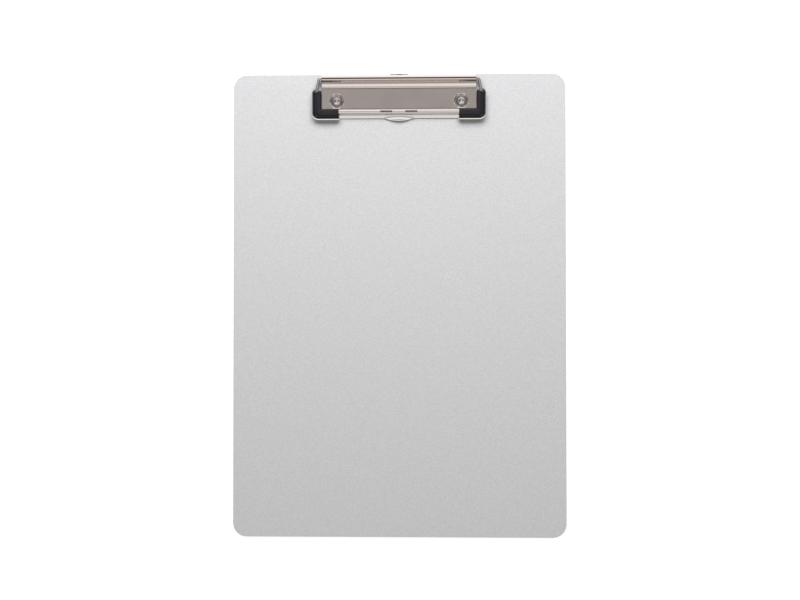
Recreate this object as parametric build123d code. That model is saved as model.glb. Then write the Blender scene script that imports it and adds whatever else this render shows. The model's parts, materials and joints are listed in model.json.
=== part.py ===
"""Aluminium clipboard with a low sprung wire clip and a pull-out hanging eye.

Millimetres, +Z up, +Y towards the clip end. The origin is the centre of the board's
back face. A "setback" is a distance from the board's top edge, measured towards -Y.
"""
from build123d import *
import os
from math import atan2, cos, degrees, pi, radians, sin, sqrt, tan

# Board
board_width = 230.0
board_length = 320.0
board_thickness = 1.5
board_corner_radius = 9.5
board_edge_round = 0.3

# Fits shared by several pieces
running_clearance = 0.05      # wire in its rolled sheet, rivet in its hole
rest_gap = 0.05               # sheet edge over the board when the clip is shut
side_gap = 0.9                # between the base plate's ends and the grips

# Spring wire
wire_diameter = 2.2
hinge_setback = 3.15
hinge_height = 3.5            # rod axis above the board's front face
bar_setback = 26.4
bar_height = 2.4              # wire axis above the board at the front bar
wire_tail = 12.0              # length of wire hidden in the front roll, each side
wire_hinge_bend = 1.8
wire_arm_bend = 8.0
wire_corner_bend = 3.0
arm_start_setback = 10.4      # where the slanting wire joins the straight arm

# Base plate, one pressed sheet
plate_width = 107.0
plate_sheet = 0.8
plate_hollow = 0.9            # space under the flat part, where the hanger slides
rear_wall_lean = 13.0         # degrees from upright
slope_radius = 5.7
plate_lip_radius = 0.95
bar_clearance = 0.45          # plate front edge to the bow's roll

# Rivets and their dimples
rivet_inset = 10.3            # from the plate's end
rivet_setback = 18.8
rivet_shank_radius = 1.8
rivet_bore_radius = 1.25
rivet_head_radius = 3.5
rivet_head_thickness = 0.55
rivet_head_recess = 0.05      # head face below the board's back face
rivet_crown_radius = 2.7
rivet_crown_height = 0.75
dimple_floor_radius = 3.7
dimple_rim_radius = 4.9
dimple_border = 0.35         # flat ring kept round the dimple's rim

# Clamp bow, one pressed sheet
bow_sheet = 0.7
flange_setback = 31.0
flange_slope = 9.0            # degrees
flange_blend_radius = 1.3
roll_start_angle = -70.0
bar_half_length = 41.6
tray_gap = 0.1                # tray floor over the board
tray_rear_setback = 10.2
tray_inner_gap = 0.6          # tray edge to the base plate's end
rim_height = 3.7
rim_flare = 10.0              # degrees
rim_rear_radius = 3.2
rim_front_radius = 3.6
bow_inner_step = 1.85         # tray's inner edge behind the wire axis
slot_inner = 5.0
slot_outer = 13.0
slot_width = 1.2

# Thumb tab in the middle of the bow
tab_half_width = 13.5
tab_reach = 1.7               # past the flange
tab_lift = 2.9
tab_sections = 9

# Corner grips
grip_width = 4.6
grip_rear_setback = 14.1
grip_front_setback = 30.8
grip_front_width = 6.05
grip_height = 3.85
grip_fit = 0.08               # grip to tray
grip_round = 1.3
collar_length = 1.4
collar_growth = 0.18

# Hanger
hanger_sheet = 0.7
hanger_gap = 0.05
hanger_width = 13.5
hanger_rear_setback = 0.1
hanger_travel = 9.0
hanger_eye_radius = 3.2
hanger_eye_rim = 1.3
hanger_corner_radius = 1.5
hanger_lug_length = 2.4
hanger_lug_reach = 3.0
slot_side_gap = 0.3
slot_arch_height = 2.4
lip_gap = 0.35                # hanger's lip below the slot's arch

# Positions that follow from the values above
board_top = board_thickness
wire_radius = wire_diameter / 2
bore_radius = wire_radius + running_clearance
plate_half = plate_width / 2
plate_underside = board_top + plate_hollow
plate_top = plate_underside + plate_sheet
bow_roll_radius = bore_radius + bow_sheet
plate_front_setback = bar_setback - bow_roll_radius - bar_clearance
arm_x = plate_half + side_gap + grip_width / 2
tray_floor = board_top + tray_gap
tray_top = tray_floor + bow_sheet
grip_bottom = tray_top + grip_fit
grip_outer_x = arm_x + grip_width / 2
grip_inner_end = bar_half_length + grip_fit
rivet_x = plate_half - rivet_inset


def y_at(setback):
    """Y of a point at this distance from the board's top edge."""
    return board_length / 2 - setback


hinge_axis = Vector(y_at(hinge_setback), board_top + hinge_height)
bar_axis = Vector(y_at(bar_setback), board_top + bar_height)


def turned(angle, length=1.0):
    """A vector of this length at this angle, in degrees."""
    return Vector(cos(radians(angle)), sin(radians(angle))) * length


def blend_centre(roll_centre, roll_radius, line_point, run, up, blend_radius):
    """Centre of the arc that joins the outside of a roll to the straight sheet below it."""
    base = line_point + up * blend_radius
    offset = base - roll_centre
    across = offset.dot(up)
    reach = sqrt((roll_radius + blend_radius) ** 2 - across**2)
    return base + run * (reach - offset.dot(run))


def angle_of(vector):
    """Direction of a vector in degrees, from 0 to 360."""
    return degrees(atan2(vector.Y, vector.X)) % 360


def prism_along_x(face, low, high):
    """Extrude a section, drawn in Y and Z, from x = low to x = high."""
    placed = Pos(low, 0, 0) * (Plane.YZ * face)
    return extrude(placed, amount=high - low, dir=(1, 0, 0))


def both_sides(solid):
    """The solid and its mirror image across the board's centre line."""
    return solid + mirror(solid, about=Plane.YZ)


def make_board():
    """Flat sheet with rounded corners, and counterbored holes for the rivets."""
    outline = RectangleRounded(board_width, board_length, board_corner_radius)
    board = extrude(outline, amount=board_thickness)
    rims = board.faces().sort_by(Axis.Z)[0].edges() + board.faces().sort_by(Axis.Z)[-1].edges()
    board = fillet(rims, board_edge_round)
    for side in (-1, 1):
        spot = Pos(side * rivet_x, y_at(rivet_setback), 0)
        board -= spot * Cylinder(
            rivet_shank_radius + running_clearance,
            board_thickness,
            align=(Align.CENTER, Align.CENTER, Align.MIN),
        )
        board -= spot * Cylinder(
            rivet_head_radius + running_clearance,
            rivet_head_recess + rivet_head_thickness,
            align=(Align.CENTER, Align.CENTER, Align.MIN),
        )
    return board


def plate_section():
    """The base plate's bent sheet: rear wall, roll over the rod, slope, flat part and front lip."""
    outer_radius = bore_radius + plate_sheet
    lean = rear_wall_lean
    front = y_at(plate_front_setback)
    flat_point = Vector(front, plate_top)
    forward = Vector(-1, 0)
    upward = Vector(0, 1)
    slope_centre = blend_centre(
        hinge_axis, outer_radius, flat_point, forward, upward, slope_radius
    )
    join = angle_of(slope_centre - hinge_axis)
    down_wall = Vector(sin(radians(lean)), -cos(radians(lean)))

    def wall(radius):
        top = hinge_axis + turned(lean, radius)
        drop = (top.Y - board_top) / cos(radians(lean))
        return top, top + down_wall * drop

    outer_wall_top, outer_foot = wall(outer_radius)
    inner_wall_top, inner_foot = wall(bore_radius)
    lip_centre = Vector(front + plate_lip_radius, plate_top - plate_lip_radius)
    lip_inner = plate_lip_radius - plate_sheet
    below = join - 180
    outline = [
        Line(outer_foot, outer_wall_top),
        CenterArc(hinge_axis, outer_radius, lean, join - lean),
        CenterArc(slope_centre, slope_radius, below, -90 - below),
        Line((slope_centre.X, plate_top), (lip_centre.X, plate_top)),
        CenterArc(lip_centre, plate_lip_radius, 90, 90),
        Line((front, lip_centre.Y), (front, board_top)),
        Line((front, board_top), (front + plate_sheet, board_top)),
        Line((front + plate_sheet, board_top), (front + plate_sheet, lip_centre.Y)),
        CenterArc(lip_centre, lip_inner, 90, 90),
        Line((lip_centre.X, plate_underside), (slope_centre.X, plate_underside)),
        CenterArc(slope_centre, slope_radius + plate_sheet, below, -90 - below),
        CenterArc(hinge_axis, bore_radius, lean, join - lean),
        Line(inner_wall_top, inner_foot),
        Line(inner_foot, outer_foot),
    ]
    return make_face(outline), slope_centre.X, inner_foot.X


def dimple():
    """The pressed cup that lets a rivet pull the raised plate down onto the board."""
    depth = plate_hollow
    slant = dimple_rim_radius - dimple_floor_radius
    shift = plate_sheet * tan(atan2(depth, slant) / 2)
    hole = rivet_shank_radius + running_clearance
    points = [
        (hole, 0),
        (dimple_floor_radius + shift, 0),
        (dimple_rim_radius + shift, depth),
        (dimple_rim_radius + dimple_border, depth),
        (dimple_rim_radius + dimple_border, depth + plate_sheet),
        (dimple_rim_radius, depth + plate_sheet),
        (dimple_floor_radius, plate_sheet),
        (hole, plate_sheet),
        (hole, 0),
    ]
    section = make_face(Plane.XZ * Polyline(points))
    return revolve(section, axis=Axis.Z)


def arch_prism(half, straight, height, depth):
    """A low arch on upright sides, standing in X and Z and extruded towards -Y."""
    arch = [
        Line((-half, 0), (half, 0)),
        Line((half, 0), (half, straight)),
        ThreePointArc((half, straight), (0, height), (-half, straight)),
        Line((-half, straight), (-half, 0)),
    ]
    return extrude(Plane.XZ * make_face(arch), amount=depth)


def hanger_slot():
    """The arched way through the rear wall that the hanger slides in."""
    half = hanger_width / 2 + slot_side_gap
    straight = hanger_gap + hanger_sheet + 2 * hanger_gap
    opening = arch_prism(half, straight, slot_arch_height, hinge_setback)
    return Pos(0, y_at(0), board_top) * opening


def make_base_plate():
    """Nickel-plated pressing that carries the hinge rod and is riveted to the board."""
    section, slope_end, _ = plate_section()
    plate = prism_along_x(section, -plate_half, plate_half)
    front = y_at(plate_front_setback)
    for side in (-1, 1):
        flank_length = slope_end - front - plate_lip_radius
        flank = Box(plate_sheet, flank_length, plate_hollow + plate_sheet / 2)
        flank_x = side * (plate_half - plate_sheet / 2)
        flank_y = (slope_end + front + plate_lip_radius) / 2
        plate += Pos(flank_x, flank_y, board_top + (plate_hollow + plate_sheet / 2) / 2) * flank
    for side in (-1, 1):
        spot = Pos(side * rivet_x, y_at(rivet_setback), board_top)
        clearing = Cylinder(
            dimple_rim_radius + dimple_border,
            plate_hollow + plate_sheet,
            align=(Align.CENTER, Align.CENTER, Align.MIN),
        )
        plate = plate - spot * clearing + spot * dimple()
    return plate - hanger_slot()


def make_rivet(side):
    """Tubular rivet: flat head in the board's back, crown rolled over in the dimple."""
    head_low = rivet_head_recess
    head_top = head_low + rivet_head_thickness
    seat = board_top + plate_sheet
    crown_top = seat + rivet_crown_height
    crown_mid = (rivet_shank_radius + rivet_crown_radius) / 2
    outline = [
        Line((0, head_low), (rivet_head_radius, head_low)),
        Line((rivet_head_radius, head_low), (rivet_head_radius, head_top)),
        Line((rivet_head_radius, head_top), (rivet_shank_radius, head_top)),
        Line((rivet_shank_radius, head_top), (rivet_shank_radius, seat)),
        Line((rivet_shank_radius, seat), (rivet_crown_radius, seat)),
        ThreePointArc(
            (rivet_crown_radius, seat), (crown_mid, crown_top), (rivet_bore_radius, seat)
        ),
        Line((rivet_bore_radius, seat), (rivet_bore_radius, head_top)),
        Line((rivet_bore_radius, head_top), (0, head_top)),
        Line((0, head_top), (0, head_low)),
    ]
    rivet = revolve(make_face(Plane.XZ * Wire(outline)), axis=Axis.Z)
    return Pos(side * rivet_x, y_at(rivet_setback), 0) * rivet


def wire_point(x, setback):
    """A point of the wire, in the slanting plane through the hinge and the front bar."""
    share = (setback - hinge_setback) / (bar_setback - hinge_setback)
    height = hinge_height + share * (bar_height - hinge_height)
    return Vector(x, y_at(setback), board_top + height)


def wire_solid(radius):
    """The whole wire at a given radius: rod, slanting ends, arms, corners and front tails."""
    tail_x = bar_half_length - wire_tail
    hinge_x = plate_half + wire_hinge_bend
    stops = [(tail_x, bar_setback), (arm_x, bar_setback), (arm_x, arm_start_setback)]
    right = [wire_point(x, setback) for x, setback in stops]
    right.append(wire_point(hinge_x, hinge_setback))
    left = [Vector(-point.X, point.Y, point.Z) for point in reversed(right)]
    bends = [wire_corner_bend, wire_arm_bend, wire_hinge_bend]
    route = FilletPolyline(*right, *left, radius=bends + bends[::-1])
    start = Plane(origin=route @ 0, z_dir=route % 0)
    return sweep(start * Circle(radius), path=route)


def make_spring_wire():
    """One bent steel wire: hinge rod, arms and the tails in the bow's front roll."""
    return wire_solid(wire_radius)


def bar_neck_and_flange():
    """Two sections of the bow's front bar: its roll with the blend, and its straight flange."""
    lean = radians(flange_slope)
    run = Vector(-cos(lean), -sin(lean))
    up = Vector(-sin(lean), cos(lean))
    low_tip = Vector(y_at(flange_setback), board_top + rest_gap)
    tip = low_tip + up * bow_sheet
    centre = blend_centre(bar_axis, bow_roll_radius, tip, run, up, flange_blend_radius)
    join = angle_of(centre - bar_axis)
    touch = centre - up * flange_blend_radius
    inner_touch = touch - up * bow_sheet
    below = join - 180
    bend = angle_of(Vector(0, 0) - up) - 360 - below
    inner_blend = flange_blend_radius + bow_sheet
    neck = [
        CenterArc(bar_axis, bow_roll_radius, roll_start_angle, join - roll_start_angle),
        CenterArc(centre, flange_blend_radius, below, bend),
        Line(touch, inner_touch),
        CenterArc(centre, inner_blend, below, bend),
        CenterArc(bar_axis, bore_radius, roll_start_angle, join - roll_start_angle),
        Line(
            bar_axis + turned(roll_start_angle, bore_radius),
            bar_axis + turned(roll_start_angle, bow_roll_radius),
        ),
    ]
    flange = Polyline(touch, tip, low_tip, inner_touch, touch)
    return make_face(neck), make_face(flange), touch, run, up


def tab_section(x, touch, run, up):
    """The flange's section at x, bent up into the thumb tab towards the middle."""
    rise = (1 + cos(pi * x / tab_half_width)) / 2
    flange_length = (touch.X - y_at(flange_setback)) / -run.X
    flat_tip = touch + run * flange_length
    tip = flat_tip + Vector(-tab_reach, tab_lift) * rise
    knee = touch + run * flange_length * 0.6
    tip_run = (tip - knee).normalized()
    tip_up = Vector(tip_run.Y, -tip_run.X)
    knee_up = ((up + tip_up) / 2).normalized()
    top = Bezier(touch, knee, tip)
    bottom = Bezier(
        tip - tip_up * bow_sheet, knee - knee_up * bow_sheet, touch - up * bow_sheet
    )
    ends = [Line(top @ 1, bottom @ 0), Line(bottom @ 1, top @ 0)]
    return Pos(x, 0, 0) * (Plane.YZ * make_face([top, ends[0], bottom, ends[1]]))


def bow_bar():
    """The bow's middle: a roll with two slots, a flange on the paper and the thumb tab."""
    neck, flange, touch, run, up = bar_neck_and_flange()
    bar = prism_along_x(neck, -bar_half_length, bar_half_length)
    bar += prism_along_x(flange, -bar_half_length, -tab_half_width)
    bar += prism_along_x(flange, tab_half_width, bar_half_length)
    step = 2 * tab_half_width / (tab_sections - 1)
    places = [-tab_half_width + index * step for index in range(tab_sections)]
    bar += loft([tab_section(x, touch, run, up) for x in places])
    slot_length = slot_outer - slot_inner
    slot_x = (slot_inner + slot_outer) / 2
    slot = Pos(slot_x, bar_axis.X, bar_axis.Y + bow_roll_radius) * Box(
        slot_length, slot_width, bow_roll_radius * 1.4
    )
    return bar - both_sides(slot)


def bow_tray():
    """Right-hand corner tray: a floor under the grip with a flared rim on its outside."""
    flare = tan(radians(rim_flare))
    wall = bow_sheet / cos(radians(rim_flare))
    pocket_x = grip_outer_x + grip_fit
    pocket_front = y_at(grip_front_setback + grip_fit)
    inset = wall - bow_sheet * flare
    left = bar_half_length - rim_front_radius * 3
    rear = y_at(tray_rear_setback)

    def outline(grow):
        right = pocket_x + grow
        front = pocket_front - grow
        back = rear - inset + grow
        shape = Pos((left + right) / 2, (front + back) / 2) * Rectangle(right - left, back - front)
        corners = shape.vertices().group_by(Axis.X)[-1].sort_by(Axis.Y)
        shape = fillet(corners[0], rim_front_radius - inset + grow)
        corners = shape.vertices().group_by(Axis.Y)[-1].sort_by(Axis.X)
        return fillet(corners[-1], rim_rear_radius - inset + grow)

    shell = extrude(Pos(0, 0, tray_floor) * outline(inset), amount=rim_height, taper=-rim_flare)
    pocket_height = rim_height - bow_sheet
    pocket = extrude(Pos(0, 0, tray_top) * outline(0), amount=pocket_height, taper=-rim_flare)
    tray = shell - pocket
    overlap = 0.5
    reach = 2 * bar_setback
    middle = Box(
        bar_half_length - overlap,
        reach,
        reach,
        align=(Align.MIN, Align.CENTER, Align.CENTER),
    )
    tray -= Pos(0, y_at(bar_setback), 0) * middle
    window = Box(
        plate_half + tray_inner_gap,
        reach,
        reach,
        align=(Align.MIN, Align.MIN, Align.CENTER),
    )
    tray -= Pos(0, y_at(bar_setback) + bow_inner_step, 0) * window
    return tray


def make_clamp_bow():
    """Pressed bow: front bar, thumb tab and the two corner trays, cleared for the wire."""
    bow = bow_bar() + both_sides(bow_tray())
    return bow - wire_solid(bore_radius)


def rounded_block(low, high):
    """A block with rounded long edges, between two opposite corners."""
    size = high - low
    block = Box(size.X, size.Y, size.Z, align=(Align.MIN, Align.MIN, Align.MIN))
    return Pos(low.X, low.Y, low.Z) * block


def make_corner_grip(side):
    """Rubber corner: two runs at a right angle with a collar on each free end."""
    inner_x = arm_x - grip_width / 2
    front = y_at(grip_front_setback)
    front_back = front + grip_front_width
    rear = y_at(grip_rear_setback)
    top = grip_bottom + grip_height
    arm = rounded_block(Vector(inner_x, front, grip_bottom), Vector(grip_outer_x, rear, top))
    bar = rounded_block(
        Vector(grip_inner_end, front, grip_bottom), Vector(grip_outer_x, front_back, top)
    )
    body = arm + bar
    uprights = body.edges().filter_by(Axis.Z)
    outer_corner = uprights.group_by(Axis.X)[-1].sort_by(Axis.Y)[0]
    body = fillet(outer_corner, rim_front_radius - grip_fit)
    crown = body.faces().sort_by(Axis.Z)[-1].edges()
    body = fillet(crown, grip_round)
    grow = collar_growth
    arm_collar = rounded_block(
        Vector(inner_x - grow, rear - collar_length, grip_bottom),
        Vector(grip_outer_x, rear, top + grow),
    )
    bar_collar = rounded_block(
        Vector(grip_inner_end, front, grip_bottom),
        Vector(grip_inner_end + collar_length, front_back + grow, top + grow),
    )
    for collar, run in ((arm_collar, Axis.Y), (bar_collar, Axis.X)):
        ridge = collar.faces().sort_by(Axis.Z)[-1].edges().filter_by(run)
        body += fillet(ridge, grip_round)
    body -= wire_solid(bore_radius)
    if side < 0:
        body = mirror(body, about=Plane.YZ)
    return body


def make_hanger():
    """Flat strip with a hanging eye, a lip to pull it by, and lugs that stop it inside."""
    _, _, wall_y = plate_section()
    rear = y_at(hanger_rear_setback)
    lug_rear = wall_y - hanger_travel
    front = lug_rear - hanger_lug_length
    strip = Pos(0, (rear + front) / 2) * Rectangle(hanger_width, rear - front)
    outer_corners = strip.vertices().group_by(Axis.Y)[-1]
    strip = fillet(outer_corners, hanger_corner_radius)
    lip_height = slot_arch_height - lip_gap
    lip = arch_prism(hanger_width / 2, hanger_sheet, lip_height, hanger_sheet)
    lip = Pos(0, rear) * lip & extrude(strip, amount=lip_height)
    lugs = Rectangle(hanger_width + 2 * hanger_lug_reach, hanger_lug_length)
    strip += Pos(0, front + hanger_lug_length / 2) * lugs
    eye_y = rear - hanger_eye_rim - hanger_eye_radius
    strip -= Pos(0, eye_y) * Circle(hanger_eye_radius)
    return Pos(0, 0, board_top + hanger_gap) * (extrude(strip, amount=hanger_sheet) + lip)


def as_solid(shape):
    """The single solid of a finished piece."""
    solids = shape.solids()
    if len(solids) != 1:
        raise ValueError(f"expected one solid, got {len(solids)}")
    return solids[0]


pieces = {
    "board": make_board(),
    "base_plate": make_base_plate(),
    "rivet_left": make_rivet(-1),
    "rivet_right": make_rivet(1),
    "spring_wire": make_spring_wire(),
    "clamp_bow": make_clamp_bow(),
    "corner_grip_left": make_corner_grip(-1),
    "corner_grip_right": make_corner_grip(1),
    "hanger": make_hanger(),
}

os.makedirs("parts", exist_ok=True)
for name, piece in pieces.items():
    export_step(as_solid(piece), f"parts/{name}.step")
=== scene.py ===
"""Aluminium clipboard with a sprung wire clip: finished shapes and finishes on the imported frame."""
import json
import math

import bmesh
import bpy
from bpy.props import FloatProperty, FloatVectorProperty, PointerProperty
from mathutils import Matrix, Vector


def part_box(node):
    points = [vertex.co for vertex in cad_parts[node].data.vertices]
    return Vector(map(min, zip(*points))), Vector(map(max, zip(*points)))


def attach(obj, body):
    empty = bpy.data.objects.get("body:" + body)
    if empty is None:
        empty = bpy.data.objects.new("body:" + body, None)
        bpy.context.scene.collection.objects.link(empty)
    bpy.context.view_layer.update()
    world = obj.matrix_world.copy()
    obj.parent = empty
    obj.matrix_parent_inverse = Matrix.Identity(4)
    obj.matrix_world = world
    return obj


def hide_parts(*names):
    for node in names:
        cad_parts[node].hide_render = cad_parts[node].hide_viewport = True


bl_info = {
    "name": "Clipboard",
    "version": (1, 0, 0),
    "blender": (4, 5, 0),
    "location": "View3D > Sidebar > Clipboard",
    "description": "Builds the finished pieces of a clipboard around its frame",
    "category": "Object",
}

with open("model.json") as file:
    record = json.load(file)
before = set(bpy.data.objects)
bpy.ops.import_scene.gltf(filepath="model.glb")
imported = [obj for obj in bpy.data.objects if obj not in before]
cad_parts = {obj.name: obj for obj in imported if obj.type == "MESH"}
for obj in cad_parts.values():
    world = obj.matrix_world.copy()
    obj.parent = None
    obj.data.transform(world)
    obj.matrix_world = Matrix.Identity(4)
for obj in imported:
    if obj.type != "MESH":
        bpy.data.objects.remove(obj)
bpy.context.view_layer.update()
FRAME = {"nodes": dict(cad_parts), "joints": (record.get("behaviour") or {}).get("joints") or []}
X_AXIS = Vector((1, 0, 0))
Y_AXIS = Vector((0, 1, 0))
Z_AXIS = Vector((0, 0, 1))
HINGE = Vector(FRAME["joints"][0]["pos_m"])
SHARP_ANGLE = math.radians(35)
NUDGE = 1e-6
EDGE_ROUND = 0.00012  # soft edges of pressed sheet and moulded rubber
RUNNING_GAP = 0.00005  # between pieces that only just clear each other
TRAY_GAP = 0.0001  # under the trays' floors
PLATE_GAP = 0.0006  # between a tray's floor and the base plate's end
WIRE_GAP = 0.0002  # beside the wire where it leaves a tray
BAR_OVERLAP = 0.0005  # of a tray over the end of the front bar
FLOOR_STEP = 0.00185  # inner edge of a tray's floor behind the wire
SLOT_STRAIGHT = 0.00085  # straight sides of the hanger's slot
SLOT_SLACK = 0.0002  # under a slot's edge, so that only the roll's top is opened
NOTCH_DEPTH = 0.00022  # of the notches in a rivet's crown
NOTCH_REACH = 0.0005  # how far down the crown the notches go
NOTCH_TURN = 0.6  # of the first notch from the X axis, in radians
CORNER_STEPS = 10
CROWN_STEPS = 6
VALUE = "NodeSocketFloat"
FLOOR_DROP = 0.0002  # of the studio floor below the board
BMVert = bmesh.types.BMVert
BMEdge = bmesh.types.BMEdge
BMFace = bmesh.types.BMFace
MIX_SOCKETS = {"FLOAT": (2, 0), "RGBA": (6, 2)}  # first input and output, by kind


# Sizes and colours


def length(name, description, default):
    """A length property, in metres."""
    return FloatProperty(
        name=name, description=description, default=default, min=0.0, unit="LENGTH", precision=5
    )


def angle(name, description, degrees):
    """An angle property, given in degrees."""
    return FloatProperty(
        name=name, description=description, default=math.radians(degrees), subtype="ANGLE"
    )


def share(name, description, default):
    """A property between nothing and all."""
    return FloatProperty(
        name=name, description=description, default=default, min=0.0, max=1.0, subtype="FACTOR"
    )


def colour(name, description, default):
    """A linear colour property."""
    return FloatVectorProperty(
        name=name, description=description, default=default, size=3, min=0.0, subtype="COLOR"
    )


class ClipboardBoard(bpy.types.PropertyGroup):
    """Sizes and looks of the board."""

    corner_radius: length("Corner radius", "Radius of the board's corners", 0.0095)
    edge_round: length("Edge round", "Rounding of the sheet's edges", 0.0003)
    head_radius: length("Head radius", "Radius of the recesses for the rivet heads", 0.00355)
    head_depth: length("Head depth", "Depth of the recesses for the rivet heads", 0.0006)
    tone: colour("Aluminium", "Colour of the blasted aluminium", (0.36, 0.36, 0.367))
    roughness: share("Roughness", "Roughness of the blasted face", 0.60)
    metal: share("Metal", "How metallic the blasted face looks", 0.2)


class ClipboardPlate(bpy.types.PropertyGroup):
    """Sizes and looks of the base plate."""

    sheet: length("Sheet", "Thickness of the pressed steel", 0.0008)
    hollow: length("Hollow", "Space under the flat part", 0.0009)
    wall_lean: angle("Rear wall lean", "Lean of the rear wall from upright", 13.0)
    land: length("Crest land", "Width of the level land on the roll", 0.0008)
    shoulder_radius: length("Shoulder", "Bend from the land to the slope", 0.00115)
    slope_radius: length("Slope radius", "Radius of the hollow slope", 0.0057)
    dimple_rim: length("Dimple rim", "Radius of a dimple at the plate", 0.00505)
    dimple_floor: length("Dimple floor", "Radius of a dimple's floor", 0.0039)
    dimple_ease: share("Dimple ease", "How softly a dimple's wall starts and ends", 0.3)
    dimple_border: length("Dimple border", "Flat left before a dimple's square", 0.0001)
    dimple_hole: length("Dimple hole", "Radius of the hole for the rivet's shank", 0.0019)
    slot_half: length("Slot half width", "Half the width of the hanger's slot", 0.00705)
    slot_height: length("Slot height", "Height of the slot's arch over the board", 0.0024)
    tone: colour("Nickel", "Colour of the nickel plate", (0.79, 0.71, 0.67))
    roughness: share("Roughness", "Roughness of the satin flat", 0.24)
    polish: share("Polish", "Roughness where the sheet is bent or pressed", 0.06)


class ClipboardBow(bpy.types.PropertyGroup):
    """Sizes and looks of the clamp bow."""

    sheet: length("Sheet", "Thickness of the pressed steel", 0.0007)
    roll_start: angle("Roll start", "Where the front roll begins, from the rear", -70.0)
    blend_radius: length("Blend radius", "Radius between roll and flange", 0.0013)
    flange_slope: angle("Flange slope", "Slope of the flange", 20.0)
    flange_reach: length("Flange reach", "Flange tip from the board's top edge", 0.0305)
    half_length: length("Half length", "Half the length of the front bar", 0.0416)
    slot_inner: length("Slot inner end", "Inner end of a slot from the middle", 0.0045)
    slot_outer: length("Slot outer end", "Outer end of a slot from the middle", 0.0128)
    slot_width: length("Slot width", "Width of the slots in the roll", 0.0012)
    tab_half: length("Tab half width", "Half the width of the thumb tab", 0.0135)
    tab_reach: length("Tab reach", "How far the tab stands past the flange", 0.0017)
    tab_knee: share("Tab knee", "Where along the flange the tab starts to lift", 0.80)
    tab_lift: length("Tab lift", "How far the tab is lifted", 0.0015)
    tray_bend: length("Tray bend", "Outside bend between the tray's floor and wall", 0.0007)
    wall_height: length("Wall height", "Height of the tray's upright wall", 0.0023)
    lip_radius: length("Lip radius", "Outside radius of the turned-out lip", 0.0012)
    lip_flare: angle("Lip flare", "Lean of the lip's end from upright", 78.0)
    lip_overhang: length("Lip overhang", "Lip's front edge from the grips' box", 0.00144)
    front_radius: length("Front corner", "Radius of the tray's front corner", 0.0036)
    rear_radius: length("Rear corner", "Radius of the tray's rear corner", 0.0032)
    tone: colour("Bright nickel", "Colour of the bright plate", (0.72, 0.70, 0.68))
    roughness: share("Roughness", "Roughness of the bright plate", 0.09)


class ClipboardWire(bpy.types.PropertyGroup):
    """Sizes and looks of the spring wire."""

    radius: length("Radius", "Radius of the spring wire", 0.0011)
    hinge_bend: length("Hinge bend", "Bend beside the hump", 0.0018)
    arm_bend: length("Arm bend", "Bend where the arm turns straight", 0.008)
    corner_bend: length("Corner bend", "Bend in the grip's corner", 0.003)
    arm_start: length("Arm start", "Arm start from the board's top edge", 0.0104)
    tail: length("Tail", "Wire inside the front roll, each side", 0.012)
    tone: colour("Wire", "Colour of the wire", (0.66, 0.64, 0.62))
    roughness: share("Roughness", "Roughness of the wire", 0.14)


class ClipboardGrip(bpy.types.PropertyGroup):
    """Sizes and looks of the corner grips."""

    width: length("Arm width", "Width of the run along the arm", 0.0052)
    shelf_width: length("Shelf width", "Width of the lower shelf outside the tube", 0.0015)
    shelf_inset: length("Shelf inset", "Room left for the tray's wall", 0.0004)
    rear_growth: length("Rear growth", "How far the arm's run passes its core", 0.0012)
    shelf_height: length("Shelf height", "Height of the lower shelf", 0.0029)
    shelf_round: length("Shelf round", "Rounding of the shelf's upper edges", 0.0006)
    seam: length("Seam", "Width of the band at the inner corner", 0.0005)
    seam_setback: length("Seam setback", "Band from the inner corner", 0.0016)
    front_width: length("Front width", "Width of the run along the bar", 0.00605)
    corner_radius: length("Corner radius", "Radius of the outer corner", 0.0035)
    crown: length("Crown", "Rounding of the upper edges", 0.0013)
    collar: length("Collar", "Length of a collar", 0.0014)
    collar_growth: length("Collar growth", "How far a collar stands out", 0.00018)
    tone: colour("Black", "Colour of the grips", (0.008, 0.0073, 0.0093))


class ClipboardRivet(bpy.types.PropertyGroup):
    """Sizes and looks of the rivets."""

    shank: length("Shank", "Radius of the shank", 0.0018)
    bore: length("Bore", "Radius of the bore", 0.00125)
    crown: length("Crown", "Radius of the rolled crown", 0.0027)
    head: length("Head", "Radius of the head", 0.0035)
    head_thickness: length("Head thickness", "Thickness of the head", 0.00055)
    bore_end: length("Bore end", "Blind end of the bore under the crown's seat", 0.0007)
    tone: colour("Bright rivet", "Colour of the rivets", (0.64, 0.61, 0.59))
    roughness: share("Roughness", "Roughness of the rivets", 0.12)


class ClipboardHanger(bpy.types.PropertyGroup):
    """Sizes and looks of the hanger."""

    tone: colour("Strip", "Colour of the strip", (0.66, 0.64, 0.62))
    roughness: share("Roughness", "Roughness of the strip", 0.16)


class ClipboardStudio(bpy.types.PropertyGroup):
    """Sizes and looks of the camera, the floor and the lamps."""

    distance: length("Camera distance", "Camera to the board", 1.0)
    lens: FloatProperty(
        name="Lens", description="Focal length", default=65.01, unit="CAMERA", precision=2
    )
    tilt_x: angle("Tilt X", "Camera turn about X", 1.246)
    tilt_y: angle("Tilt Y", "Camera turn about Y", 2.119)
    turn_z: angle("Turn Z", "Camera turn about Z", -0.021)
    aim_x: length("Aim X", "Point the camera looks at, along X", 0.00058)
    aim_y: length("Aim Y", "Point the camera looks at, along Y", 0.00338)
    floor_size: length("Floor", "Side of the floor", 6.0)
    floor_tone: share("Floor tone", "How pale the floor is", 0.2)
    floor_glow: share("Floor glow", "The floor's own light", 0.85)
    key_energy: FloatProperty(
        name="Key light", description="Power of the key light", default=19.5, unit="POWER"
    )
    fill_energy: FloatProperty(
        name="Fill light", description="Power of the fill light", default=1.8, unit="POWER"
    )


# Mesh helpers


def run_to(bm, vert, point):
    """Draw a straight edge from vert to a point and return its far vertex."""
    new = bmesh.ops.extrude_vert_indiv(bm, verts=[vert])["verts"][0]
    bmesh.ops.translate(bm, verts=[new], vec=Vector(point) - vert.co)
    return new


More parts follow.
